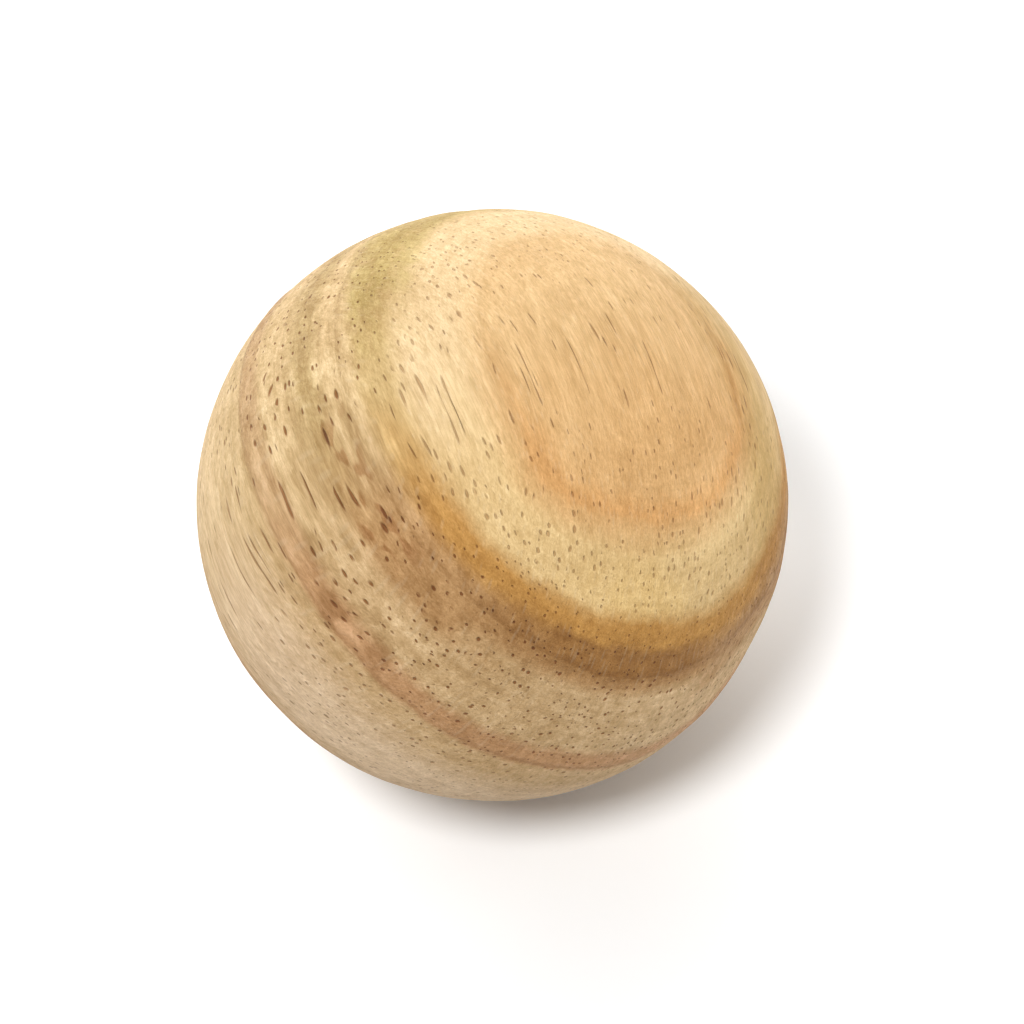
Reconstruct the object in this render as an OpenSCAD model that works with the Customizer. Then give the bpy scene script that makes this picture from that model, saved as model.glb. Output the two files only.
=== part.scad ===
// Turned wooden ball, in millimetres.
// One solid piece of wood: turned to a sphere between the cutters of a ball lathe, parted off at both
// ends, and rounded over in a sanding drum. The parting leaves each end-grain pole a little flatter
// than the sphere, so the ball measures slightly less along the lathe axis than across it.
// The origin is the centre of the ball. The lathe axis and the grain lie along Y, and +Z is up.

/* [Ball] */
// Diameter across the lathe axis, where the cutters set the size
ball_d = 20; // [15:0.5:40]

/* [Poles] */
// Width of the flatter crown at each end of the lathe axis
crown_w = 6; // [5:0.5:9]
// Height of the crown's rise above its own rim; a full sphere of this size would rise 0.46
crown_rise = 0.33; // [0.1:0.01:0.4]

/* [Hidden] */
$fn = 180;

ball_r = ball_d / 2;
crown_rim_r = crown_w / 2;
// Distance from the centre of the ball to the plane of a crown's rim
crown_rim_y = sqrt(pow(ball_r, 2) - pow(crown_rim_r, 2));
// Radius of the crown's own arc, through its rim and its highest point
crown_r = (pow(crown_rim_r, 2) + pow(crown_rise, 2)) / (2 * crown_rise);
// The crown's arc is centred on the lathe axis, on the far side of the middle of the ball
crown_centre_y = crown_rim_y + crown_rise - crown_r;

// Half outline of the ball, on the +X side of the lathe axis, which is Y here
module half_outline() {
    intersection() {
        circle(r = ball_r);
        intersection_for(end = [-1, 1]) {
            translate([0, end * crown_centre_y]) circle(r = crown_r);
        }
        translate([0, -ball_r]) square([ball_r, ball_d]);
    }
}

// The ball, turned about the lathe axis and then laid with that axis along Y
module ball() {
    color("burlywood")
        rotate([-90, 0, 0])
            rotate_extrude()
                half_outline();
}

ball();
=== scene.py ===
# %% [markdown]
# # A turned wooden ball
# This lesson dresses one small part: a 20 mm ball turned from a banded, aromatic hardwood and left raw.
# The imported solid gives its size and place. What the solid can't hold is built here: the slight relief
# that a sanding drum leaves between hard and soft wood, and the wood itself, from growth bands several
# millimetres wide down to pores a tenth of a millimetre across.
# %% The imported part
import math

import bmesh
import bpy
import numpy as np
from mathutils import Matrix, Vector


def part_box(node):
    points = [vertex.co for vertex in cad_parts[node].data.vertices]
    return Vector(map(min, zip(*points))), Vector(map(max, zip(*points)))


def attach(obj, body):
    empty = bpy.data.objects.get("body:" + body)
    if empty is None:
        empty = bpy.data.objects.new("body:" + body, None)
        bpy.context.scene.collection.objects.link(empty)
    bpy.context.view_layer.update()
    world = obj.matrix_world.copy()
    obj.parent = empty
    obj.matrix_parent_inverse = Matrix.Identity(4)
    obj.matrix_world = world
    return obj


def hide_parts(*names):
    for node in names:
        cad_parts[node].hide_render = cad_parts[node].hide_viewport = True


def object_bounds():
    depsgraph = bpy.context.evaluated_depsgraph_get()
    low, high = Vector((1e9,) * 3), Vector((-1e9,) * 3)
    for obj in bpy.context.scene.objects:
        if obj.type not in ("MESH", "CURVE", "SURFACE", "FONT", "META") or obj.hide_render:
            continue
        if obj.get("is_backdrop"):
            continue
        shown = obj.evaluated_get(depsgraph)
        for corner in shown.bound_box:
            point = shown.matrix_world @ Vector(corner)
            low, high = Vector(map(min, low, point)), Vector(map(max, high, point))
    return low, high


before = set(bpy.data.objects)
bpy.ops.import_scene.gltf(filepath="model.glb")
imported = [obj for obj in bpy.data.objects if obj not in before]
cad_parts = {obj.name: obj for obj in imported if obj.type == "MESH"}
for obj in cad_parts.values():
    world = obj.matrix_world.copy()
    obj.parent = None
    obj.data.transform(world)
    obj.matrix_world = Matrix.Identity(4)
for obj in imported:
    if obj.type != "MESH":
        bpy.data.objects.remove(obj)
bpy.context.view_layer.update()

MM = 0.001
low_corner, high_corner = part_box("ball")
BALL_R = (high_corner.x - low_corner.x) / 2 / MM      # across the lathe axis, in mm
POLE_Y = (high_corner.y - low_corner.y) / 2 / MM      # along the lathe axis, in mm
FLOOR_Z = low_corner.z
print(f"ball: radius {BALL_R:.3f} mm across the lathe axis, {POLE_Y:.3f} mm along it")

# %% [markdown]
# ## Camera
# The ball lies on a table and is seen from above its front. A long lens keeps it free of distortion, and
# the camera leans a little to one side, as a hand-held one does. The lens is worked out from the width of
# table that should fill the square picture.
# %% Camera
VIEW_ELEVATION = math.radians(48.8)
VIEW_LEAN = math.radians(12.8)
VIEW_DISTANCE = 436.0        # mm, from the middle of the ball
FIELD_WIDTH = 34.5           # mm of table across the picture
SENSOR_WIDTH = 36.0          # mm
NEAREST, FARTHEST = 0.01, 5.0     # m, all that the camera sees lies between these
AIM = (0.6, 0.0, -0.6)       # mm, so that the ball and its shadow are centred together


def camera_axes(elevation, lean):
    """Right, up and backward directions of a camera that looks along +Y and down, and leans."""
    backward = Vector((0, -math.cos(elevation), math.sin(elevation)))
    level_up = Vector((0, math.sin(elevation), math.cos(elevation)))
    level_right = Vector((1, 0, 0))
    right = level_right * math.cos(lean) - level_up * math.sin(lean)
    up = level_right * math.sin(lean) + level_up * math.cos(lean)
    return right, up, backward


right, up, backward = camera_axes(VIEW_ELEVATION, VIEW_LEAN)
camera = bpy.data.objects.new("camera", bpy.data.cameras.new("camera"))
camera.data.sensor_width = SENSOR_WIDTH
camera.data.lens = SENSOR_WIDTH * VIEW_DISTANCE / FIELD_WIDTH
camera.data.clip_start = NEAREST
camera.data.clip_end = FARTHEST
place = Vector(AIM) * MM + backward * VIEW_DISTANCE * MM
camera.matrix_world = Matrix.Translation(place) @ Matrix((right, up, backward)).transposed().to_4x4()
bpy.context.scene.collection.objects.link(camera)
bpy.context.scene.camera = camera
print(f"camera: {camera.data.lens:.0f} mm lens, {FIELD_WIDTH} mm of table across the picture")

# %% [markdown]
# ## Wiring helpers
# Materials and geometry nodes are both trees of nodes. A few short helpers keep the wiring readable: each
# adds one node, fills its inputs with numbers or with other nodes' outputs, and returns its output.
# %% Wiring helpers


def fill(tree, socket, value):
    """Wires another node's output into a socket, or writes a constant there."""
    if isinstance(value, bpy.types.NodeSocket):
        tree.links.new(value, socket)
    else:
        socket.default_value = value


def maths(tree, operation, first, second=0.0, clamp=False):
    node = tree.nodes.new("ShaderNodeMath")
    node.operation = operation
    node.use_clamp = clamp
    fill(tree, node.inputs[0], first)
    fill(tree, node.inputs[1], second)
    return node.outputs[0]


def vectors(tree, operation, first, second=(0.0, 0.0, 0.0)):
    node = tree.nodes.new("ShaderNodeVectorMath")
    node.operation = operation
    fill(tree, node.inputs[0], first)
    fill(tree, node.inputs[3 if operation == "SCALE" else 1], second)
    return node.outputs["Value" if operation in ("DOT_PRODUCT", "LENGTH") else "Vector"]


def noise(tree, where, scale, detail=1.0, rough=0.5):
    """Soft noise from 0 to 1, with features about 1/scale across."""
    node = tree.nodes.new("ShaderNodeTexNoise")
    fill(tree, node.inputs["Vector"], where)
    node.inputs["Scale"].default_value = scale
    node.inputs["Detail"].default_value = detail
    node.inputs["Roughness"].default_value = rough
    return node.outputs[0]


def step(tree, value, start, end, low=0.0, high=1.0):
    """A smooth step that goes from low to high while value goes from start to end."""
    node = tree.nodes.new("ShaderNodeMapRange")
    node.interpolation_type = "SMOOTHSTEP"
    for name, number in (("Value", value), ("From Min", start), ("From Max", end),
                         ("To Min", low), ("To Max", high)):
        fill(tree, node.inputs[name], number)
    return node.outputs[0]


print("helpers: fill, maths, vectors, noise, step")

# %% [markdown]
# ## Where a point lies in the tree
# Wood has a grain because every point of it has a place in the tree it came from: how far it is from the
# pith, how far round the trunk, and how far along it. The ball was cut with the pith off to one side, so
# its growth rings are arcs of large circles. One function works this place out, and it is used twice: by
# the geometry nodes that raise the hard bands, and by the material that colours them. The two can't drift
# apart. A point is first pushed out to the plain sphere, so that the relief itself doesn't bend the bands.
# The place is given in two ways: straight, for slow unevenness, and bent with the rings, for all that
# follows a ring or crosses it at a right angle. Real rings aren't true circles, so a slow noise, drawn out
# along the grain, moves them in and out.
# %% Where a point lies in the tree
TO_PITH = Vector((0.569, -0.187, 0.801)).normalized()       # from the middle of the ball towards the pith
ALONG = Vector((-0.182, 0.921, 0.344))                      # along the fibres
ALONG = (ALONG - TO_PITH * ALONG.dot(TO_PITH)).normalized()
ROUND = ALONG.cross(TO_PITH)                                # round the trunk
PITH_DISTANCE = 34.6         # mm, from the middle of the ball to the pith
RING_WANDER = 0.45           # mm, how far a ring strays from its circle
WANDER = ((1.0, 1.0, 0.35), 0.16, 2.0)      # how drawn out along the grain, scale per mm, detail


def drawn_noise(tree, place, drawn, scale, detail=1.0, rough=0.5):
    """Noise that is drawn out along the directions which have small numbers in drawn."""
    return noise(tree, vectors(tree, "MULTIPLY", place, drawn), scale, detail, rough)


def stray(tree, value, most):
    """A noise as a shift of up to about most, to either side."""
    return maths(tree, "MULTIPLY", maths(tree, "SUBTRACT", value, 0.5), 2 * most)


def joined(tree, first, second, third):
    """One vector from three values."""
    node = tree.nodes.new("ShaderNodeCombineXYZ")
    for socket, value in zip(node.inputs, (first, second, third)):
        fill(tree, socket, value)
    return node.outputs[0]


def tree_place(tree, position):
    """Straight place (towards the pith, round, along), ring place (depth, round, along) and the ring depth,
    all in mm, of a position in metres."""
    outward = vectors(tree, "NORMALIZE", position)
    on_ball = vectors(tree, "SCALE", outward, BALL_R)
    toward = vectors(tree, "DOT_PRODUCT", on_ball, TO_PITH)
    around = vectors(tree, "DOT_PRODUCT", on_ball, ROUND)
    along = vectors(tree, "DOT_PRODUCT", on_ball, ALONG)
    grain = joined(tree, toward, around, along)
    wander = stray(tree, drawn_noise(tree, grain, *WANDER), RING_WANDER)
    to_axis = maths(tree, "SUBTRACT", PITH_DISTANCE, toward)
    ring_radius = maths(tree, "SQRT", maths(tree, "ADD", maths(tree, "MULTIPLY", to_axis, to_axis),
                                            maths(tree, "MULTIPLY", around, around)))
    depth = maths(tree, "ADD", maths(tree, "SUBTRACT", PITH_DISTANCE, ring_radius), wander)
    arc = maths(tree, "MULTIPLY", maths(tree, "DIVIDE", around, to_axis), PITH_DISTANCE)
    return grain, joined(tree, depth, arc, along), depth


print(f"pith {PITH_DISTANCE} mm from the middle of the ball")

# %% [markdown]
# ## The turned shape
# A cube whose faces are divided into a fine grid, and then pushed out to a sphere, gives even square
# facets with no pinched poles, which later relief needs. The lathe parted the ball off at both ends of its
# axis, so two slightly flatter crowns are blended in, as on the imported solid.
# %% The turned shape
FACE_STEPS = 128             # grid squares along each of the cube's twelve edges
CROWN_RIM_R = 3.0            # mm, radius of the flatter crown on each pole
CROWN_BLEND = 0.02           # mm, how softly crown and sphere run together


def crown_arc(pole, rim_r, ball_r):
    """Radius of the crown's arc, and where its centre lies on the lathe axis."""
    rim = math.sqrt(ball_r ** 2 - rim_r ** 2)
    rise = pole - rim
    radius = (rim_r ** 2 + rise ** 2) / (2 * rise)
    return radius, pole - radius


def turned_radius(directions):
    """Distance of the turned surface from the middle, for each unit direction."""
    radius, centre = crown_arc(POLE_Y, CROWN_RIM_R, BALL_R)
    lift = np.abs(directions[:, 1]) * centre
    crown = lift + np.sqrt(lift ** 2 - centre ** 2 + radius ** 2)
    gap = crown - BALL_R
    return BALL_R + (gap - np.sqrt(gap ** 2 + CROWN_BLEND ** 2)) / 2


def turned_ball():
    shape = bmesh.new()
    bmesh.ops.create_cube(shape, size=2.0)
    bmesh.ops.subdivide_edges(shape, edges=shape.edges[:], cuts=FACE_STEPS - 1, use_grid_fill=True)
    mesh = bpy.data.meshes.new("turned_ball")
    shape.to_mesh(mesh)
    shape.free()
    spots = np.zeros(len(mesh.vertices) * 3)
    mesh.vertices.foreach_get("co", spots)
    spots = np.tan(spots.reshape(-1, 3) * math.pi / 4)
    spots /= np.linalg.norm(spots, axis=1, keepdims=True)
    spots *= turned_radius(spots)[:, None] * MM
    mesh.vertices.foreach_set("co", spots.ravel())
    mesh.shade_smooth()
    piece = bpy.data.objects.new("turned_ball", mesh)
    bpy.context.scene.collection.objects.link(piece)
    return piece


ball = turned_ball()
print(f"turned ball: {len(ball.data.polygons)} square facets")

# %% [markdown]
# ## Relief
# A sanding drum cuts soft wood faster than hard wood. On the real ball the hard inner cap stands a hair
# proud of the zone below it, the two dark late-wood rings are fine ridges, and soft furrows run between
# the bundles of fibres. There is one shallow hollow low on the right and one small swelling, and the whole
# ball is a few hundredths of a millimetre out of round. All of that can be felt with a fingernail, and the
# larger forms show in the outline, so it is real geometry: geometry nodes push every point in or out along
# its radius. Sculpting would do as well, but nodes keep each height a number that can be changed. This step
# sets down the heights, and the next one applies them.
# %% Relief
CAP_EDGE = (4.3, 5.9)        # mm of ring depth over which the hard cap rises
CAP_RISE = 0.07              # mm
RIDGES = ((4.35, 0.45), (-0.15, 0.40))      # ring depth and half width of each late-wood ridge, mm
RIDGE_RISE = 0.030           # mm
HOLLOW = Vector((0.734, -0.620, -0.277))    # direction of the shallow hollow
HOLLOW_REACH = 3.6           # mm
HOLLOW_DEPTH = 0.24          # mm
HOLLOW_END = (4.6, 3.0)      # mm of ring depth: the hollow stops at the hard ring
KNOB = Vector((-0.173, 0.551, 0.815))       # direction of a small swelling
KNOB_REACH = 1.8             # mm
KNOB_RISE = 0.10             # mm
UNEVEN = 0.10                # mm for the noise's full range, of which the ball shows less than half
UNEVEN_SCALE = 0.21          # per mm
NOISE_TOP = 0.6              # taken off a noise, so that it mostly cuts into the wood
FURROW = 0.030               # mm, depth of the soft furrows between bundles of fibres
FURROWS = ((1.0, 1.0, 0.15), 1.3)    # how drawn out along the grain, and scale per mm across it


def window(tree, value, rise, full, hold, fall):
    """0, then 1 from full to hold, then 0 again."""
    up = step(tree, value, rise, full)
    down = step(tree, value, hold, fall, 1.0, 0.0)
    return maths(tree, "MULTIPLY", up, down)


def total(tree, values):
    """The sum of several outputs."""
    result = values[0]
    for value in values[1:]:
        result = maths(tree, "ADD", result, value)
    return result


def spot(tree, outward, direction, reach):
    """1 at one direction of the ball, falling softly to 0 at a distance of reach, in mm."""
    apart = vectors(tree, "SUBTRACT", outward, direction.normalized())
    distance = vectors(tree, "LENGTH", vectors(tree, "SCALE", apart, BALL_R))
    return step(tree, distance, reach, 0.0)


def relief_height(tree, position):
    """How far the surface stands out from the turned shape, in mm."""
    grain, rings, depth = tree_place(tree, position)
    outward = vectors(tree, "NORMALIZE", position)
    heights = [step(tree, depth, *CAP_EDGE, -CAP_RISE / 2, CAP_RISE / 2)]
    for ring, half in RIDGES:
        ridge = window(tree, depth, ring - half, ring, ring, ring + half)
        heights.append(maths(tree, "MULTIPLY", ridge, RIDGE_RISE))
    below_cap = step(tree, depth, *HOLLOW_END)
    hollow = maths(tree, "MULTIPLY", spot(tree, outward, HOLLOW, HOLLOW_REACH), below_cap)
    heights.append(maths(tree, "MULTIPLY", hollow, -HOLLOW_DEPTH))
    heights.append(maths(tree, "MULTIPLY", spot(tree, outward, KNOB, KNOB_REACH), KNOB_RISE))
    slow = maths(tree, "SUBTRACT", noise(tree, grain, UNEVEN_SCALE), NOISE_TOP)
    heights.append(maths(tree, "MULTIPLY", slow, UNEVEN))
    furrow = maths(tree, "SUBTRACT", drawn_noise(tree, grain, *FURROWS), NOISE_TOP)
    heights.append(maths(tree, "MULTIPLY", furrow, FURROW))
    return total(tree, heights)


print(f"relief planned: {CAP_RISE} mm for the cap, {RIDGE_RISE} for a ridge, {HOLLOW_DEPTH} for the hollow")

# %% [markdown]
# ## Relief made real
# A geometry node tree moves every point of the turned ball by its height. The tree's result then becomes
# the mesh itself, so that the shape is there for anything that reads it and no modifier is left. Last, the
# ball settles on the table, because its lowest point has changed by a few hundredths of a millimetre.
# %% Relief made real


def add_relief(piece):
    """Pushes the piece's points in and out by geometry nodes, then makes the result permanent."""
    tree = bpy.data.node_groups.new("relief", "GeometryNodeTree")
    tree.interface.new_socket("Geometry", in_out="INPUT", socket_type="NodeSocketGeometry")
    tree.interface.new_socket("Geometry", in_out="OUTPUT", socket_type="NodeSocketGeometry")
    start = tree.nodes.new("NodeGroupInput")
    end = tree.nodes.new("NodeGroupOutput")
    position = tree.nodes.new("GeometryNodeInputPosition").outputs[0]
    outward = vectors(tree, "NORMALIZE", position)
    height = maths(tree, "MULTIPLY", relief_height(tree, position), MM)
    move = tree.nodes.new("GeometryNodeSetPosition")
    tree.links.new(start.outputs[0], move.inputs["Geometry"])
    tree.links.new(vectors(tree, "SCALE", outward, height), move.inputs["Offset"])
    tree.links.new(move.outputs[0], end.inputs[0])
    modifier = piece.modifiers.new("relief", "NODES")
    modifier.node_group = tree
    graph = bpy.context.evaluated_depsgraph_get()
    shaped = bpy.data.meshes.new_from_object(piece.evaluated_get(graph))
    piece.modifiers.clear()
    piece.data = shaped
    piece.data.name = "ball_with_relief"


def points_of(mesh):
    spots = np.zeros(len(mesh.vertices) * 3)
    mesh.vertices.foreach_get("co", spots)
    return spots.reshape(-1, 3)


turned = points_of(ball.data)
add_relief(ball)
shaped = points_of(ball.data)
relief = (np.linalg.norm(shaped, axis=1) - np.linalg.norm(turned, axis=1)) / MM
drop = shaped[:, 2].min() - FLOOR_Z
ball.data.transform(Matrix.Translation((0, 0, -drop)))
print(f"relief: from {relief.min():.3f} to {relief.max():.3f} mm")
print(f"settled on the table: {drop / MM:.3f} mm down")

# %% [markdown]
# ## Lamps
# Plain studio light: a soft lamp high up in front, a little to the left, one very wide lamp low behind the
# ball, as a window gives, and a weaker low one on the right, which lights the ball's edge there and hardly
# the table. Area lamps would do too. Sun lamps are chosen because their light doesn't fall off with
# distance, so each is no more than a direction, a spread and a strength.
# %% Lamps
LAMPS = (                    # name, elevation and azimuth in degrees, spread in degrees, strength
    ("front_lamp", 61.0, -155.0, 18.0, 0.66),
    ("back_lamp", 6.0, -4.0, 118.0, 1.44),
    ("right_lamp", 3.0, 94.0, 62.0, 0.42),
)


def lamp(name, elevation, azimuth, spread, strength):
    """A far, wide lamp; azimuth 0 is behind the ball and +90 is to its right."""
    light = bpy.data.lights.new(name, "SUN")
    light.energy = strength * math.pi
    light.angle = math.radians(spread)
    height, turn = math.radians(elevation), math.radians(azimuth)
    towards = Vector((math.cos(height) * math.sin(turn), math.cos(height) * math.cos(turn), math.sin(height)))
    item = bpy.data.objects.new(name, light)
    item.rotation_euler = towards.to_track_quat("Z", "Y").to_euler()
    bpy.context.scene.collection.objects.link(item)


for lamp_values in LAMPS:
    lamp(*lamp_values)
print(f"lamps: {len(LAMPS)}")

# %% [markdown]
# ## Pale room
# The walls and the ceiling of a pale room fill the shade a little. In Blender that is the world. What the
# camera sees past the table's edge is plain white, and so is what gloss or glass would show. Light Path
# tells these rays from the ones that light the wood, so the white costs the shade nothing.
# %% Pale room
SURROUNDINGS = 0.21          # what the room adds to the light on the wood
WHITE = (1.0, 1.0, 1.0, 1.0)


def seen_rays(tree):
    """1 for rays that show the background: straight to the camera, by gloss or through glass."""
    path = tree.nodes.new("ShaderNodeLightPath")
    seen = maths(tree, "MAXIMUM", path.outputs["Is Camera Ray"], path.outputs["Is Glossy Ray"])
    return maths(tree, "MAXIMUM", seen, path.outputs["Is Transmission Ray"])


def background(tree, strength):
    node = tree.nodes.new("ShaderNodeBackground")
    node.inputs["Color"].default_value = WHITE
    node.inputs["Strength"].default_value = strength
    return node.outputs[0]


world = bpy.data.worlds.new("pale_room")
bpy.context.scene.world = world
world.use_nodes = True
room = world.node_tree
room.nodes.clear()
either = room.nodes.new("ShaderNodeMixShader")
choice = (seen_rays(room), background(room, SURROUNDINGS), background(room, 1.0))
for socket, value in zip(either.inputs, choice):
    fill(room, socket, value)
output = room.nodes.new("ShaderNodeOutputWorld")
room.links.new(either.outputs[0], output.inputs[0])
bpy.context.scene.view_settings.view_transform = "Standard"
print(f"world: {world.name}, strength {SURROUNDINGS} on the wood")

# %% [markdown]
# ## Table
# A plain pale sheet. The camera sees it brighter than it is, so that it is white but for the ball's shadow,
# while the light that it throws up on the ball is that of its true, greyer colour. It is seen a touch
# bluish as well, to make up for the warm light that the wood throws on it.
# %% Table
TABLE_SIZE = 4.0             # m
TABLE_COLOUR = (0.47, 0.47, 0.47, 1.0)
TABLE_SEEN = (1.04, 1.05, 1.06, 1.0)


def blend(tree, factor, first, second, mode="MIX"):
    """The first colour, mixed with the second or multiplied by it, as far as factor says."""
    node = tree.nodes.new("ShaderNodeMix")
    node.data_type = "RGBA"
    node.blend_type = mode
    fill(tree, node.inputs[0], factor)
    fill(tree, node.inputs[6], first)
    fill(tree, node.inputs[7], second)
    return node.outputs[2]


sheet = bpy.data.meshes.new("table")
edge = TABLE_SIZE / 2
corners = [(x, y, FLOOR_Z) for x, y in ((-edge, -edge), (edge, -edge), (edge, edge), (-edge, edge))]
sheet.from_pydata(corners, [], [(0, 1, 2, 3)])
table = bpy.data.objects.new("table", sheet)
bpy.context.scene.collection.objects.link(table)

paint = bpy.data.materials.new("pale_table")
paint.use_nodes = True
tree = paint.node_tree
tree.nodes.clear()
matte = tree.nodes.new("ShaderNodeBsdfDiffuse")
fill(tree, matte.inputs["Color"], blend(tree, seen_rays(tree), TABLE_COLOUR, TABLE_SEEN))
output = tree.nodes.new("ShaderNodeOutputMaterial")
tree.links.new(matte.outputs[0], output.inputs[0])
sheet.materials.append(paint)
table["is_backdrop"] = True
print(f"table: {TABLE_SIZE} m square, its top at {FLOOR_Z / MM:.3f} mm")

# %% [markdown]
# ## Groups for the wood
# The wood is built from a few separate effects: growth bands, fibres, pores, rays, sanding scratches and
# the marks of the lathe. Each becomes a shader group of its own with named sockets, so that the finished
# material reads as a handful of boxes. A group gives out only places, colours, masks and heights; the
# shader itself stays outside. The first group gives all others the place in the tree.
# %% Groups for the wood
KINDS = {"value": "NodeSocketFloat", "vector": "NodeSocketVector", "colour": "NodeSocketColor"}


def new_group(name, inputs, outputs):
    """An empty shader group with named sockets; returns it and its two ends."""
    group = bpy.data.node_groups.new(name, "ShaderNodeTree")
    for label, kind in inputs:
        group.interface.new_socket(label, in_out="INPUT", socket_type=KINDS[kind])
    for label, kind in outputs:
        group.interface.new_socket(label, in_out="OUTPUT", socket_type=KINDS[kind])
    start = group.nodes.new("NodeGroupInput")
    end = group.nodes.new("NodeGroupOutput")
    return group, start.outputs, end.inputs


def use_group(tree, group, inputs=()):
    """Adds one use of a group and returns its outputs; inputs are pairs of a socket's name and its value."""
    node = tree.nodes.new("ShaderNodeGroup")
    node.node_tree = group
    for label, value in inputs:
        fill(tree, node.inputs[label], value)
    return node.outputs


PLACE, start, end = new_group("place_in_tree", (), (("Grain", "vector"), ("Rings", "vector"),
                                                     ("Depth", "value"), ("Outward", "vector")))
position = PLACE.nodes.new("ShaderNodeTexCoord").outputs["Object"]
grain, rings, depth = tree_place(PLACE, position)
for socket, value in zip(end, (grain, rings, depth, vectors(PLACE, "NORMALIZE", position))):
    fill(PLACE, socket, value)
print("group: place_in_tree")

# %% [markdown]
# ## Shaping a pattern
# Every effect starts from noise or from scattered cells, because a solid pattern needs no unwrapping and
# runs through the ball as real grain does. The result is spread over a range, turned into a shade or
# multiplied by others. These helpers name those few moves.
# %% Shaping a pattern
NOISE_REACH = (0.32, 0.68)   # nearly all of a soft noise lies between these


def parts(tree, vector):
    """The three values of a vector."""
    node = tree.nodes.new("ShaderNodeSeparateXYZ")
    fill(tree, node.inputs[0], vector)
    return node.outputs


def cells(tree, where, scale, dimensions="3D", blur=0.0):
    """Distance to the nearest of many scattered points, as a part of their spacing, and three random
    values for each point."""
    node = tree.nodes.new("ShaderNodeTexVoronoi")
    node.voronoi_dimensions = dimensions
    if blur:
        node.feature = "SMOOTH_F1"
        node.inputs["Smoothness"].default_value = blur
    fill(tree, node.inputs["Vector"], where)
    node.inputs["Scale"].default_value = scale
    return node.outputs["Distance"], parts(tree, node.outputs["Color"])


def vary(tree, value, low, high):
    """A 0 to 1 value spread over low to high."""
    return maths(tree, "ADD", maths(tree, "MULTIPLY", value, high - low), low)


def change(tree, value, most):
    """A soft noise as a rise and fall: from -most to +most."""
    return maths(tree, "MULTIPLY", step(tree, value, *NOISE_REACH, -1.0, 1.0), most)


def shading(tree, value, most):
    """A soft noise as a shade to multiply by: 1 is no change, less is darker, more is paler."""
    return maths(tree, "ADD", change(tree, value, most), 1.0)


def product(tree, values):
    """All values multiplied together."""
    result = values[0]
    for value in values[1:]:
        result = maths(tree, "MULTIPLY", result, value)
    return result


def patch(tree, place, middle, reach, most):
    """Most at the middle of a round patch, falling softly to 0 at a distance of reach. The middle is given
    in mm towards the pith, round the trunk and along it."""
    distance = vectors(tree, "LENGTH", vectors(tree, "SUBTRACT", place, middle))
    return step(tree, distance, reach, 0.0, 0.0, most)


print("helpers: parts, cells, vary, change, shading, product, patch")

# %% [markdown]
# ## Colours of the bands
# A tropical tree lays down wide bands of different colour instead of thin yearly rings. Going outwards
# from the pith this ball shows an orange-tan core, a cream band, a golden one that darkens to a brown
# late-wood ring, a tan zone, a thin reddish ring and then pale sapwood. The colours are mixed and named,
# and each list says at which ring depth a colour stands. There are three lists, for the foot of the
# grain, its middle and its head, because towards the head the brown ring fades to olive.
# %% Colours of the bands


def srgb(red, green, blue):
    """A colour as mixed on a screen, 0 to 255, in the linear values that nodes use."""
    linear = []
    for channel in (red / 255, green / 255, blue / 255):
        linear.append(channel / 12.92 if channel <= 0.04045 else ((channel + 0.055) / 1.055) ** 2.4)
    return (*linear, 1.0)


HONEY = srgb(223, 175, 115)
AMBER = srgb(226, 169, 104)
CREAM = srgb(244, 206, 139)
BUTTER = srgb(234, 198, 138)
STRAW = srgb(228, 196, 147)
GOLD = srgb(200, 146, 75)
UMBER = srgb(161, 113, 59)
BARK = srgb(187, 142, 91)
OCHRE = srgb(203, 171, 115)
OLIVE = srgb(186, 155, 103)
TAN = srgb(213, 176, 126)
DUN = srgb(212, 180, 130)
FAWN = srgb(220, 181, 127)
RUSSET = srgb(200, 152, 105)
CLAY = srgb(189, 152, 106)
PALE = srgb(240, 208, 168)

DEPTH_RANGE = (-10.5, 10.5)  # mm, the ring depths a ball of this size can reach


def sapwood(pale):
    """Ring depth in mm and colour of the outermost bands."""
    return ((-10.3, TAN), (-8.6, pale), (-7.1, pale), (-6.8, RUSSET), (-6.5, TAN), (-5.0, pale), (-3.2, pale))


FOOT_BANDS = sapwood(PALE) + (    # the foot of the grain faces the front
    (-1.5, TAN), (-0.7, TAN), (-0.45, RUSSET), (0.25, RUSSET), (0.7, TAN), (3.2, TAN), (3.75, BARK),
    (4.25, UMBER), (5.0, UMBER), (5.35, GOLD), (5.9, GOLD), (6.4, CREAM), (7.5, CREAM), (8.2, HONEY),
    (8.5, AMBER), (9.0, AMBER), (9.5, HONEY))
MIDDLE_BANDS = sapwood(PALE) + (
    (-1.1, TAN), (-0.7, TAN), (-0.4, RUSSET), (0.3, RUSSET), (0.9, TAN), (2.1, TAN), (2.8, BARK),
    (4.5, BARK), (5.05, GOLD), (5.6, GOLD), (6.25, BUTTER), (7.6, BUTTER), (8.3, HONEY), (8.5, AMBER),
    (8.9, HONEY), (9.6, HONEY))
HEAD_BANDS = sapwood(STRAW) + (
    (-1.1, DUN), (-0.6, DUN), (-0.3, CLAY), (0.4, CLAY), (0.8, DUN), (1.9, DUN), (2.6, OLIVE),
    (3.1, OLIVE), (3.6, DUN), (4.5, DUN), (5.0, OCHRE), (5.75, OCHRE), (6.4, STRAW), (7.8, STRAW),
    (8.5, FAWN), (9.8, FAWN))
print(f"colours: {len(FOOT_BANDS)}, {len(MIDDLE_BANDS)} and {len(HEAD_BANDS)} along the three lists")

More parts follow.
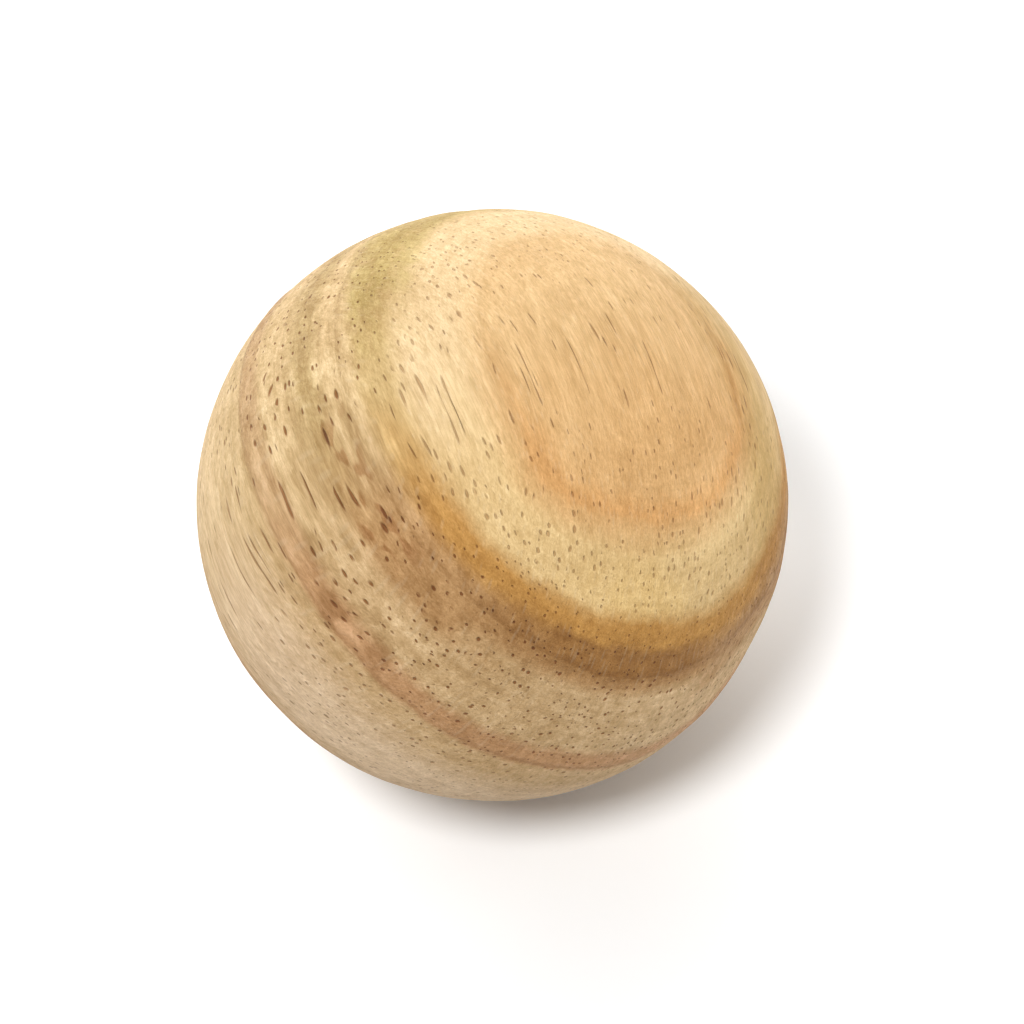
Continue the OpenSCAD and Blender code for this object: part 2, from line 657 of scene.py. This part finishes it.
# %% [markdown]
# ## Growth bands
# Each list becomes a colour ramp that is read by ring depth, and the ramps are blended by the station, the
# place along the grain. A ramp alone would give borders as clean as paint. On the real ball they are
# ragged, since the pores carry colour across them, so streaks drawn out along the grain move the depth a
# little and broad blotches move the station. In one place the core bulges outwards.
# %% Growth bands
FOOT_TO_MIDDLE = (-8.2, -5.6)     # mm along the grain, over which one list turns into the next
MIDDLE_TO_HEAD = (-4.0, 2.8)
STATION_STRAY = 2.5          # mm, how far blotches move these borders
RIGHT_SHIFT = (-1.0, 3.5, 0.0, 2.2)     # mm round from and to, and mm that the first border moves there
STREAKS = ((1.0, 1.0, 0.18), 1.6, 3.0, 0.6)       # how drawn out, scale per mm, detail, roughness
FINE_STREAKS = ((1.0, 1.0, 0.12), 5.5, 2.0, 0.6)
BLOTCHES = ((1.0, 1.0, 0.5), 0.45, 3.0, 0.6)
RAGGED = 0.22                # mm, how far streaks move a band's edge
RAGGED_FINE = 0.10           # mm
CORE_SWELL = ((7.9, -4.4, -3.9), 3.2, 0.45)       # middle of the bulge, its reach and its height, all in mm


def bands(tree, depth, stops):
    """A colour ramp whose stops stand at ring depths in mm."""
    low, high = DEPTH_RANGE
    node = tree.nodes.new("ShaderNodeValToRGB")
    place = maths(tree, "DIVIDE", maths(tree, "SUBTRACT", depth, low), high - low)
    fill(tree, node.inputs[0], place)
    elements = node.color_ramp.elements
    elements.remove(elements[1])
    elements[0].position = (stops[0][0] - low) / (high - low)
    elements[0].color = stops[0][1]
    for level, colour in stops[1:]:
        elements.new((level - low) / (high - low)).color = colour
    return node.outputs[0]


BANDS, start, end = new_group("growth_bands", (("Grain", "vector"), ("Rings", "vector"), ("Depth", "value")),
                              (("Color", "colour"), ("Shade", "value"), ("Dark zone", "value"),
                               ("Early wood", "value"), ("Flecked", "value")))
grain, rings = start["Grain"], start["Rings"]
around, along = parts(BANDS, rings)[1:]

streak = drawn_noise(BANDS, grain, *STREAKS)
ragged = stray(BANDS, streak, RAGGED)
fine = stray(BANDS, drawn_noise(BANDS, grain, *FINE_STREAKS), RAGGED_FINE)
ring_depth = total(BANDS, (start["Depth"], ragged, fine, patch(BANDS, grain, *CORE_SWELL)))
blotch = drawn_noise(BANDS, grain, *BLOTCHES)
station = maths(BANDS, "ADD", along, stray(BANDS, blotch, STATION_STRAY))
foot_station = maths(BANDS, "ADD", station, step(BANDS, around, *RIGHT_SHIFT))
colour = blend(BANDS, step(BANDS, foot_station, *FOOT_TO_MIDDLE),
               bands(BANDS, ring_depth, FOOT_BANDS), bands(BANDS, ring_depth, MIDDLE_BANDS))
colour = blend(BANDS, step(BANDS, station, *MIDDLE_TO_HEAD), colour, bands(BANDS, ring_depth, HEAD_BANDS))
print("group growth_bands: ramps blended")

# %% [markdown]
# ## Stains and gum
# What the tree took up or gave off lies over its bands. The thin reddish ring fades in places. Towards the
# head a mineral stain makes the wood olive, and it crosses the rings at a slant. Gum has stained one streak
# along the grain and a chain of small flecks beside the golden band. A stain lets the wood show through,
# so each one multiplies the colour below it.
# %% Stains and gum
THIN_RING = (-0.9, -0.5, 0.5, 0.9)      # mm of ring depth
THIN_RING_BREAKS = ((0.4, 1.0, 0.8), 0.55, 2.0)   # how drawn out, scale per mm, detail
THIN_RING_GAP = (0.50, 0.32)            # of that noise, from a whole ring to a faded one
THIN_RING_FADE = 0.20                   # how much of it goes in the breaks
MINERAL = srgb(230, 232, 208)           # what the mineral stain multiplies the bands by
MINERAL_DEPTHS = (3.6, 4.6, 6.0, 7.0)
MINERAL_STATION = (2.5, 6.5)            # mm along the grain
MINERAL_STREAKS = (0.3, 0.6, 0.5, 1.5)  # of the streaks from and to, and how strong the stain is there
MINERAL_SLANT = (0.2, -5.0)             # mm it moves outwards for each mm round, counted from here
GUM = srgb(236, 230, 212)
GUM_ROUND = (4.2, 5.9, 7.2, 8.8)        # mm round the trunk
GUM_STATIONS = (-8.0, -5.0, 2.0, 6.0)
FLECK_GUM = srgb(220, 203, 186)
FLECK_DEPTHS = (2.5, 2.9, 3.7, 4.4)
FLECK_STATIONS = (-5.0, -3.0, 1.0, 2.8)
FLECK_CHAIN = ((1.0, 1.0, 0.35), 2.6)   # how drawn out, and scale per mm
FLECK_RISE = (0.48, 0.60)               # of that noise, from bare wood to a full fleck

breaks = step(BANDS, drawn_noise(BANDS, grain, *THIN_RING_BREAKS), *THIN_RING_GAP)
faded = product(BANDS, (window(BANDS, ring_depth, *THIN_RING), breaks, THIN_RING_FADE))
colour = blend(BANDS, faded, colour, TAN)
slant = maths(BANDS, "MULTIPLY", maths(BANDS, "SUBTRACT", around, MINERAL_SLANT[1]), MINERAL_SLANT[0])
mineral = product(BANDS, (window(BANDS, maths(BANDS, "ADD", ring_depth, slant), *MINERAL_DEPTHS),
                          step(BANDS, station, *MINERAL_STATION), step(BANDS, streak, *MINERAL_STREAKS)))
colour = blend(BANDS, mineral, colour, MINERAL, "MULTIPLY")
gum = maths(BANDS, "MULTIPLY", window(BANDS, maths(BANDS, "ADD", around, ragged), *GUM_ROUND),
            window(BANDS, station, *GUM_STATIONS))
colour = blend(BANDS, gum, colour, GUM, "MULTIPLY")
flecks = product(BANDS, (step(BANDS, drawn_noise(BANDS, grain, *FLECK_CHAIN), *FLECK_RISE),
                         window(BANDS, ring_depth, *FLECK_DEPTHS), window(BANDS, station, *FLECK_STATIONS)))
colour = blend(BANDS, flecks, colour, FLECK_GUM, "MULTIPLY")
fill(BANDS, end["Color"], colour)
print("group growth_bands: thin ring broken up, three stains laid over the ramps")

# %% [markdown]
# ## Season lines and shade
# Each season's growth stops in a fine dark line, sharp on its outer side, and fainter lines run beside it.
# The wood between them is never even: it mottles, most of all in the dark zone, where gum is. One patch
# low on the right is painted light: it is drawn paler, as the light that the table throws up on the ball
# makes it there. A few soft patches are a little paler or darker than their band. All of that is one shade,
# a number that multiplies the colour. Masks for the dark zone, for the wide-pored early wood and for the
# flecked part go out too, for the groups that follow.
# %% Season lines and shade
SEASON_ENDS = ((8.40, 0.07), (4.12, 0.18), (1.95, 0.08), (-0.50, 0.15), (-3.70, 0.07), (-6.85, 0.16))
SEASON_LINE = (-0.03, 0.02, 0.06, 0.36) # mm of ring depth: where a line starts, is full and ends
EARLY_WOOD = (-2.6, -1.7, -0.10, 0.05)  # mm of ring depth: the wide pores that follow outside each line
DARK_INSIDE = (6.0, 4.8, 0.25, 1.0)     # mm of ring depth from and to, and the dark zone's mask there
DARK_OUTSIDE = (-3.0, 1.5, 0.35, 1.0)
FLECKED_DEPTHS = (-1.8, -0.4, 4.9, 5.5) # mm of ring depth, where gum has stained whole bundles of fibres
FLECKED_STATIONS = (-8.0, -4.5, 2.5, 5.5)
FAINT_LINES = ((1.0, 0.05, 0.05), 2.8, 4.0, 0.7)  # how drawn out, scale per mm, detail, roughness
FAINT_LINE_SHADE = 0.07
MOTTLE = ((1.0, 0.4, 0.2), 2.6, 4.0, 0.7)
MOTTLE_SHADE = (0.02, 0.09)  # in pale and in dark bands
STREAK_SHADE = (0.03, 0.085)
BLOTCH_SHADE = 0.035
PAINTED_TABLE_LIGHT = ((1.5, 2.5, -9.6), 7.5, 0.30)  # painted light from the table: middle (mm towards the pith, round, along), reach in mm, shade
PAINTED_TABLE_LIGHT_DEPTHS = (4.3, 3.2)   # it ends at the hard dark ring
PATCHES = (                  # the same three values for each
    ((8.3, 2.2, -5.1), 3.0, 0.20),
    ((4.2, -5.0, -7.4), 2.4, -0.16),
    ((6.2, -5.8, 5.2), 2.4, -0.18),
    ((7.2, -6.8, 0.8), 2.6, 0.12),
    ((4.5, -8.6, 2.7), 1.9, 0.26),
    ((4.8, -8.8, 0.6), 1.9, -0.24),
    ((4.5, -8.6, -2.5), 1.9, 0.20),
)

dark_zone = maths(BANDS, "MULTIPLY", step(BANDS, ring_depth, *DARK_INSIDE),
                  step(BANDS, ring_depth, *DARK_OUTSIDE))
season_lines = []
early_wood = []
for edge, strength in SEASON_ENDS:
    line = window(BANDS, ring_depth, *(edge + offset for offset in SEASON_LINE))
    season_lines.append(maths(BANDS, "MULTIPLY", line, -strength))
    early_wood.append(window(BANDS, ring_depth, *(edge + offset for offset in EARLY_WOOD)))
# painted light: the ball is drawn paler low on the right, where the table's light falls, up to the hard dark
# ring
painted_table_light = maths(BANDS, "MULTIPLY", patch(BANDS, grain, *PAINTED_TABLE_LIGHT), step(BANDS, ring_depth, *PAINTED_TABLE_LIGHT_DEPTHS))
patches = [patch(BANDS, grain, *values) for values in PATCHES]
shade = product(BANDS, (
    maths(BANDS, "ADD", total(BANDS, [painted_table_light] + patches), 1.0),
    maths(BANDS, "ADD", total(BANDS, season_lines), 1.0),
    shading(BANDS, drawn_noise(BANDS, rings, *FAINT_LINES), FAINT_LINE_SHADE),
    shading(BANDS, blotch, BLOTCH_SHADE),
    shading(BANDS, streak, vary(BANDS, dark_zone, *STREAK_SHADE)),
    shading(BANDS, drawn_noise(BANDS, rings, *MOTTLE), vary(BANDS, dark_zone, *MOTTLE_SHADE))))
fill(BANDS, end["Shade"], shade)
fill(BANDS, end["Dark zone"], dark_zone)
fill(BANDS, end["Early wood"], total(BANDS, early_wood))
fill(BANDS, end["Flecked"], maths(BANDS, "MULTIPLY", window(BANDS, ring_depth, *FLECKED_DEPTHS),
                                  window(BANDS, along, *FLECKED_STATIONS)))
print(f"group growth_bands: {len(SEASON_ENDS)} season lines and {len(PATCHES) + 1} patches, complete")

# %% [markdown]
# ## Fibres
# The body of the wood is fibre: hair-thin tubes a millimetre or more long, all along the trunk. On a
# sanded face they show as fine pale and dark dashes along the grain, and as a speckle where the grain
# meets the surface end on. Noise and scattered cells drawn out along the grain give both at once, because
# the surface of the ball cuts through the same solid pattern at every angle. In the dark band, gum has
# stained whole bundles, which makes the broad flecks there. The finest pale hairs are partly painted
# highlight: glints of the fibres' sheen drawn into the colour, besides the fibres' own tone.
# %% Fibres
BUNDLES = ((1.0, 1.0, 0.12), 3.2, 3.0, 0.65)      # how drawn out, scale per mm, detail, roughness
BUNDLE_SHADE = 0.055
BUNDLE_HEIGHT = 0.010        # mm, up and down
HAIRS = ((1.0, 1.0, 0.08), 17.0, 2.0, 0.6)
# the fibres' own tone and, in their pale streaks, painted highlight for the glint of their sheen
HAIR_TONE_AND_GLINT = 0.085
HAIR_HEIGHT = 0.005          # mm, up and down
GUM_DASHES = ((1.0, 1.0, 0.30), 1.5)     # how drawn out, and cells per mm across the grain
GUM_DASH_SHADE = 0.36
GUM_DASH_BLUR = 0.35         # how softly neighbours run together
WIDE_DASHES = ((1.0, 1.0, 0.18), 4.6)
WIDE_DASH_SHADE = (0.05, 0.14)    # in pale and in dark bands
NARROW_DASHES = ((1.0, 1.0, 0.22), 9.5)
NARROW_DASH_SHADE = (0.07, 0.12)
DASH_EDGE = (0.75, 0.30)     # of a cell, from the dash's edge to where it is full


def dashes(tree, place, drawn, scale, strength, blur=0.0):
    """Scattered dashes along the grain, each a little paler or darker than the wood; 1 is no change."""
    distance, chance = cells(tree, vectors(tree, "MULTIPLY", place, drawn), scale, blur=blur)
    tone = maths(tree, "MULTIPLY", vary(tree, chance[0], -1.0, 1.0), step(tree, distance, *DASH_EDGE))
    return maths(tree, "ADD", maths(tree, "MULTIPLY", tone, strength), 1.0)


FIBRES, start, end = new_group("fibres", (("Rings", "vector"), ("Dark zone", "value"), ("Flecked", "value")),
                               (("Shade", "value"), ("Height", "value")))
rings, dark_zone = start["Rings"], start["Dark zone"]
bundles = drawn_noise(FIBRES, rings, *BUNDLES)
hairs = drawn_noise(FIBRES, rings, *HAIRS)
gum_shade = maths(FIBRES, "MULTIPLY", start["Flecked"], GUM_DASH_SHADE)
fill(FIBRES, end["Shade"], product(FIBRES, (
    shading(FIBRES, bundles, BUNDLE_SHADE),
    shading(FIBRES, hairs, HAIR_TONE_AND_GLINT),
    dashes(FIBRES, rings, *GUM_DASHES, gum_shade, GUM_DASH_BLUR),
    dashes(FIBRES, rings, *WIDE_DASHES, vary(FIBRES, dark_zone, *WIDE_DASH_SHADE)),
    dashes(FIBRES, rings, *NARROW_DASHES, vary(FIBRES, dark_zone, *NARROW_DASH_SHADE)))))
fill(FIBRES, end["Height"], maths(FIBRES, "ADD", change(FIBRES, bundles, BUNDLE_HEIGHT),
                                  change(FIBRES, hairs, HAIR_HEIGHT)))
print("group: fibres")

# %% [markdown]
# ## Pores
# Hardwood carries its sap in vessels a tenth of a millimetre wide, which run through the whole trunk. Cut
# along, each leaves an open groove; cut across, a pinhole. Flat cells spread over the cross section and
# carried straight along the grain are exactly such tubes. A slow noise bends them a little, and a random
# number for each tube sets how wide it is and whether it is open; another noise plugs parts of it. They
# are widest in the wood that grew first in each season, just outside a dark line, and they are darker than
# the wood because light doesn't reach their floor.
# %% Pores
PORE_SPACING = 0.27          # mm between tubes
PORE_RADIUS = (0.13, 0.25)   # of the spacing, narrowest and widest
EARLY_WIDER = (0.85, 1.25)   # tubes in late and in early wood are this much wider
PORE_EDGE = 0.45             # of its radius, where a tube is as dark as it gets
OPEN_PART = 0.55             # of all tubes
PORE_BEND = (0.45, 0.30, 0.0)     # mm towards the pith, round and along it
PORE_BENDS = ((1.0, 1.0, 0.45), 0.5)    # how drawn out, and scale per mm
PORE_PLUGS = ((1 / PORE_SPACING, 1 / PORE_SPACING, 0.35), 0.9)      # one value for each tube's width
PLUG_GAP = (0.42, 0.54)      # of that noise, from plugged to open
PORE_SEEN = (0.45, 1.0)      # how dark a tube looks in pale and in dark bands
PORE_FLOOR = 0.040           # mm deep
LIP_EDGE = (2.3, 1.3)        # radii, over which the wood gets paler towards a tube
LIP_SHADE = 0.04

PORES, start, end = new_group("pores", (("Rings", "vector"), ("Dark zone", "value"), ("Early wood", "value")),
                              (("Mask", "value"), ("Shade", "value"), ("Height", "value")))
rings, dark_zone = start["Rings"], start["Dark zone"]
bend = stray(PORES, drawn_noise(PORES, rings, *PORE_BENDS), 1.0)
bent = vectors(PORES, "ADD", rings, vectors(PORES, "SCALE", PORE_BEND, bend))
distance, chance = cells(PORES, bent, 1 / PORE_SPACING, "2D")
width = maths(PORES, "MULTIPLY", vary(PORES, chance[0], *PORE_RADIUS),
              vary(PORES, start["Early wood"], *EARLY_WIDER))
is_open = maths(PORES, "MULTIPLY", maths(PORES, "LESS_THAN", chance[1], OPEN_PART),
                step(PORES, drawn_noise(PORES, bent, *PORE_PLUGS), *PLUG_GAP))
hole = step(PORES, distance, width, maths(PORES, "MULTIPLY", width, PORE_EDGE))
hole = maths(PORES, "MULTIPLY", hole, is_open)
lip = step(PORES, distance, *(maths(PORES, "MULTIPLY", width, radii) for radii in LIP_EDGE))
fill(PORES, end["Mask"], maths(PORES, "MULTIPLY", hole, vary(PORES, dark_zone, *PORE_SEEN)))
fill(PORES, end["Shade"], maths(PORES, "ADD", product(PORES, (lip, is_open, LIP_SHADE)), 1.0))
fill(PORES, end["Height"], maths(PORES, "MULTIPLY", hole, -PORE_FLOOR))
print(f"group: pores, {PORE_SPACING} mm apart")

# %% [markdown]
# ## Rays
# Thin ribbons of soft tissue run from the pith outwards, across the grain. Where a face cuts along them
# they show as small silky flecks, lighter than the wood; on the end of the grain they are fine lines that
# all point to the pith. Their cells are long towards the pith, short along the grain and very thin round
# the trunk.
# %% Rays
RAY_CELLS = (0.5, 7.0, 2.2)  # cells per mm towards the pith, round the trunk and along it
RAY_EDGE = (0.42, 0.15)      # of a cell
RAY_PART = 0.5               # of all cells hold a ray that is seen
RAY_LINES = (0.35, 9.0, 1.2) # lines per mm in the same three directions
RAY_LINE_SHADE = 0.035

RAYS, start, end = new_group("rays", (("Rings", "vector"),), (("Mask", "value"), ("Shade", "value")))
rings = start["Rings"]
distance, chance = cells(RAYS, vectors(RAYS, "MULTIPLY", rings, RAY_CELLS), 1.0)
is_seen = maths(RAYS, "LESS_THAN", chance[0], RAY_PART)
fill(RAYS, end["Mask"], maths(RAYS, "MULTIPLY", step(RAYS, distance, *RAY_EDGE), is_seen))
fill(RAYS, end["Shade"], shading(RAYS, drawn_noise(RAYS, rings, RAY_LINES, 1.0), RAY_LINE_SHADE))
print("group: rays")

# %% [markdown]
# ## Sanding scratches
# The last stage in the drum leaves hair-fine scratches in every direction. Each set here is a noise that
# is drawn out along one direction until it is all lines. Only its crests are kept, so the scratches stay
# few, and they are a few thousandths of a millimetre deep: they catch the light and no more.
# %% Sanding scratches
SCRATCH_LINES = ((1.0, 1.0, 0.035), 14.0)    # how drawn out along a scratch, and lines per mm, roughly
SCRATCH_CREST = (0.62, 0.72) # of the noise
SCRATCH_DEPTH = 0.003        # mm
SCRATCH_PALE = 0.045         # how much paler the torn fibre is
SCRATCH_TURNS = ((0.3, 0.5, 0.2), (1.4, -0.6, 0.9), (-0.8, 1.1, 2.0), (2.3, 0.2, -1.2))   # radians

SCRATCHES, start, end = new_group("sanding_scratches", (("Outward", "vector"),),
                                  (("Shade", "value"), ("Height", "value")))
surface = vectors(SCRATCHES, "SCALE", start["Outward"], BALL_R)
sets = []
for turn in SCRATCH_TURNS:
    node = SCRATCHES.nodes.new("ShaderNodeMapping")
    node.vector_type = "TEXTURE"
    node.inputs["Rotation"].default_value = turn
    fill(SCRATCHES, node.inputs["Vector"], surface)
    sets.append(step(SCRATCHES, drawn_noise(SCRATCHES, node.outputs[0], *SCRATCH_LINES), *SCRATCH_CREST))
scratches = total(SCRATCHES, sets)
pale = maths(SCRATCHES, "MULTIPLY", scratches, SCRATCH_PALE)
fill(SCRATCHES, end["Shade"], maths(SCRATCHES, "ADD", pale, 1.0))
fill(SCRATCHES, end["Height"], maths(SCRATCHES, "MULTIPLY", scratches, -SCRATCH_DEPTH))
print(f"group: sanding_scratches, {len(SCRATCH_TURNS)} directions")

# %% [markdown]
# ## Marks of the lathe
# The ball was turned between two points and then drum-sanded, which leaves a small disc of faint rings
# round both poles, where the tool parted it off. The rings are about a hundredth of a millimetre deep,
# far too shallow for geometry, so they are a height for the bump. The wood is drawn darker in their low
# parts and in a thin line along the disc's edge. The drum wore the front pole more, so its disc is the
# fainter one.
# %% Marks of the lathe
DISC_R = 2.7                 # mm, radius of the disc
DISC_EDGE = 0.16             # mm, half the width of its darker edge
FRONT_DISC = 0.35            # how much of the marks is left on the front pole
FRONT_TO_BACK = (-0.2, 0.2)  # along the lathe axis, as a part of the radius
TURNED_RINGS = (3.6, 3.0, 0.7)    # rings per mm, roughly, detail and roughness
RING_CREST = (0.62, 0.38)    # of the noise, from pale to dark
RING_HEIGHT = (0.003, 0.040) # mm, away from the disc and on it
DISC_DARK = 0.07             # how much the rings darken the wood at most
EDGE_DARK = 0.09

LATHE, start, end = new_group("lathe_marks", (("Outward", "vector"),),
                              (("Shade", "value"), ("Height", "value")))
along_axis = parts(LATHE, start["Outward"])[1]
off_axis = maths(LATHE, "SUBTRACT", 1.0, maths(LATHE, "MULTIPLY", along_axis, along_axis), clamp=True)
off_axis = maths(LATHE, "MULTIPLY", maths(LATHE, "SQRT", off_axis), BALL_R)
turned_rings = noise(LATHE, joined(LATHE, off_axis, along_axis, 0.0), *TURNED_RINGS)
left_on = step(LATHE, along_axis, *FRONT_TO_BACK, FRONT_DISC, 1.0)
disc = maths(LATHE, "MULTIPLY", step(LATHE, off_axis, DISC_R + DISC_EDGE, DISC_R - DISC_EDGE), left_on)
edge = window(LATHE, off_axis, DISC_R - 2 * DISC_EDGE, DISC_R, DISC_R, DISC_R + 2 * DISC_EDGE)
dark = maths(LATHE, "ADD", product(LATHE, (step(LATHE, turned_rings, *RING_CREST), disc, DISC_DARK)),
             product(LATHE, (edge, left_on, EDGE_DARK)))
fill(LATHE, end["Shade"], maths(LATHE, "SUBTRACT", 1.0, dark))
fill(LATHE, end["Height"], maths(LATHE, "MULTIPLY", turned_rings, vary(LATHE, disc, *RING_HEIGHT)))
print("group: lathe_marks")

# %% [markdown]
# ## Raw wood
# The groups are put together here. The bands give the colour, and all the shades are multiplied into one.
# Dark wood isn't only darker, it is also warmer, because its blue goes first and its red last: each
# channel takes the shade to a power of its own. Rays lighten the wood and pores darken it. It was never
# varnished, so it is rough all over and has only a weak, wide gleam. The heights of all effects are added
# up in millimetres, and a single bump node turns them into a normal.
# %% Raw wood
WARMTH = (0.80, 1.0, 1.35)   # powers of the shade in red, green and blue
PORE_SHADE = srgb(176, 144, 112)     # an open pore multiplies the wood by this
RAY_SHADE = srgb(255, 238, 205)
RAY_STRENGTH = 0.08
FIBRE_REACH = (0.75, 1.25)   # nearly all shades of a fibre lie between these
ROUGHNESS = (0.78, 0.58)     # in dark and in pale fibres
SPECULAR = 0.30

wood = bpy.data.materials.new("raw_wood")
wood.use_nodes = True
tree = wood.node_tree
bsdf = tree.nodes["Principled BSDF"]
place = use_group(tree, PLACE)
rings = ("Rings", place["Rings"])
band = use_group(tree, BANDS, (("Grain", place["Grain"]), rings, ("Depth", place["Depth"])))
dark_zone = ("Dark zone", band["Dark zone"])
fibre = use_group(tree, FIBRES, (rings, dark_zone, ("Flecked", band["Flecked"])))
pore = use_group(tree, PORES, (rings, dark_zone, ("Early wood", band["Early wood"])))
ray = use_group(tree, RAYS, (rings,))
scratch = use_group(tree, SCRATCHES, (("Outward", place["Outward"]),))
lathe = use_group(tree, LATHE, (("Outward", place["Outward"]),))

shade = product(tree, [effect["Shade"] for effect in (band, fibre, pore, ray, scratch, lathe)])
warm_shade = joined(tree, *(maths(tree, "POWER", shade, power) for power in WARMTH))
colour = vectors(tree, "MULTIPLY", band["Color"], warm_shade)
colour = blend(tree, maths(tree, "MULTIPLY", ray["Mask"], RAY_STRENGTH), colour, RAY_SHADE)
colour = blend(tree, pore["Mask"], colour, PORE_SHADE, "MULTIPLY")
tree.links.new(colour, bsdf.inputs["Base Color"])
tree.links.new(step(tree, fibre["Shade"], *FIBRE_REACH, *ROUGHNESS), bsdf.inputs["Roughness"])
bsdf.inputs["Specular IOR Level"].default_value = SPECULAR
bump = tree.nodes.new("ShaderNodeBump")
bump.inputs["Distance"].default_value = MM
bump.inputs["Strength"].default_value = 1.0
heights = total(tree, [effect["Height"] for effect in (fibre, pore, scratch, lathe)])
tree.links.new(heights, bump.inputs["Height"])
tree.links.new(bump.outputs[0], bsdf.inputs["Normal"])
ball.data.materials.append(wood)
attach(ball, "root")
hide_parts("ball")
print(f"raw wood: {len(tree.nodes)} nodes in the material itself")

# %% [markdown]
# ## Size
# Last, the finished piece is measured and its size is printed: the dressed ball should fill the same
# space as the solid it stands for.
# %% Size
new_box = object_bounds()
sides = [(high - low) / MM for low, high in zip(*new_box)]
print("finished ball: " + " x ".join(f"{side:.3f}" for side in sides) + " mm")
